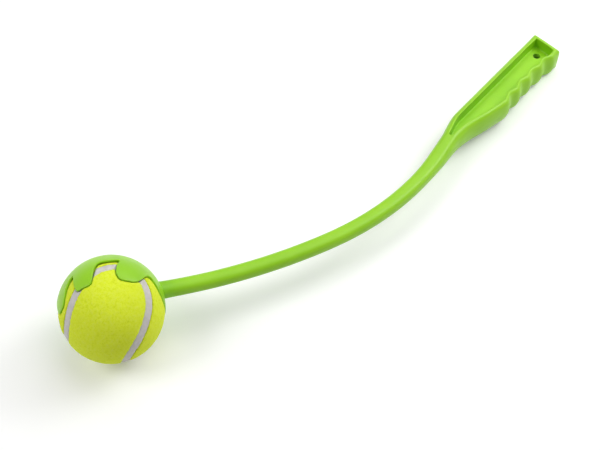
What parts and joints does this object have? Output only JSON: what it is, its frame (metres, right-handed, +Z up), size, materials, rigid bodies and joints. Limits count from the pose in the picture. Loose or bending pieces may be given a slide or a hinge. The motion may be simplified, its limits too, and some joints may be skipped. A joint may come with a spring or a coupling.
{
  "type": "dog ball launcher stick",
  "caption": "Throwing stick for dog balls: one green plastic moulding with claw cup, bowed shaft and pocketed finger grip, holding a felt-covered ball that pulls out of the claws.",
  "frame": {"origin": "middle of the footprint, on the floor that the stick and its cup lie on", "axes": "+X from the ball to the grip's end, +Z up from the floor; the cup's mouth and the finger grooves face -Y"},
  "size_m": [0.4397, 0.0849, 0.0682],
  "materials": {
    "stick_plastic": "semi-gloss moulded polyolefin, lime green",
    "felt": "short-pile needled felt, yellow-green",
    "seam_rubber": "matt pale grey adhesive rubber",
    "core_rubber": "matt moulded rubber",
    "bond_rubber": "cured rubber cement"
  },
  "bodies": {
    "stick": {"launcher_stick": "stick_plastic"},
    "ball": {"felt_panel_front": "felt", "felt_panel_back": "felt", "seam_line": "seam_rubber", "core_half_upper": "core_rubber", "core_half_lower": "core_rubber", "core_bond": "bond_rubber"}
  },
  "joints": [
    {"name": "ball_release", "type": "slide", "parent": "stick", "child": "ball", "axis": [-0.4328, -0.9011, 0.0267], "range_m": [0, 0.12]}
  ]
}
